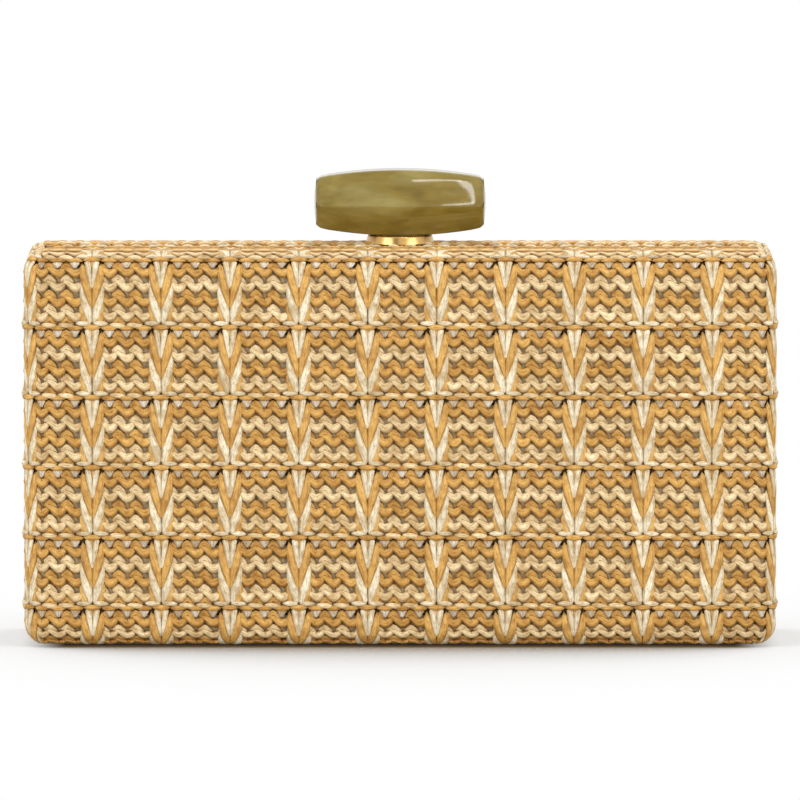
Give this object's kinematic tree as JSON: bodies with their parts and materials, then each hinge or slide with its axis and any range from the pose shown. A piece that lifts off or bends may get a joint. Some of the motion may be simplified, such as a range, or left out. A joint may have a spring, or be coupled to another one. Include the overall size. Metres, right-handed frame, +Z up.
{
  "type": "box clutch bag",
  "caption": "Rectangular hard-shell evening clutch covered in ribbed woven straw, hinged along the bottom and closed by a turning barrel knob on a round metal plate.",
  "frame": {"origin": "middle of the base, on the surface that the bag stands on", "axes": "+X along the width, +Y towards the back half, +Z up; the pictured face looks to -Y"},
  "size_m": [0.19, 0.05, 0.1183],
  "materials": {
    "straw_weave": "woven raffia",
    "wood_shell": "plain",
    "lining": "plain cloth",
    "olive_resin": "polished, clouded",
    "polished_gold": "polished",
    "brass": "satin"
  },
  "bodies": {
    "back_half": {"back_shell": "wood_shell", "back_weave": "straw_weave", "back_frame": "brass", "back_lining": "lining", "back_knuckles": "brass", "hinge_pin": "brass", "clasp_rosette": "polished_gold", "clasp_nut": "brass"},
    "front_half": {"front_shell": "wood_shell", "front_weave": "straw_weave", "front_frame": "brass", "front_lining": "lining", "front_knuckles": "brass", "latch_keeper": "brass"},
    "clasp": {"clasp_knob": "olive_resin", "clasp_stem": "brass", "latch_cam": "brass"}
  },
  "joints": [
    {"name": "lid_hinge", "type": "hinge", "parent": "back_half", "child": "front_half", "pos_m": [0, 0, 0.0022], "axis": [1, 0, 0], "range_deg": [0, 100]},
    {"name": "clasp_turn", "type": "hinge", "parent": "back_half", "child": "clasp", "pos_m": [0, 0.01033, 0.1], "axis": [0, 0, 1], "range_deg": [0, 90]}
  ]
}
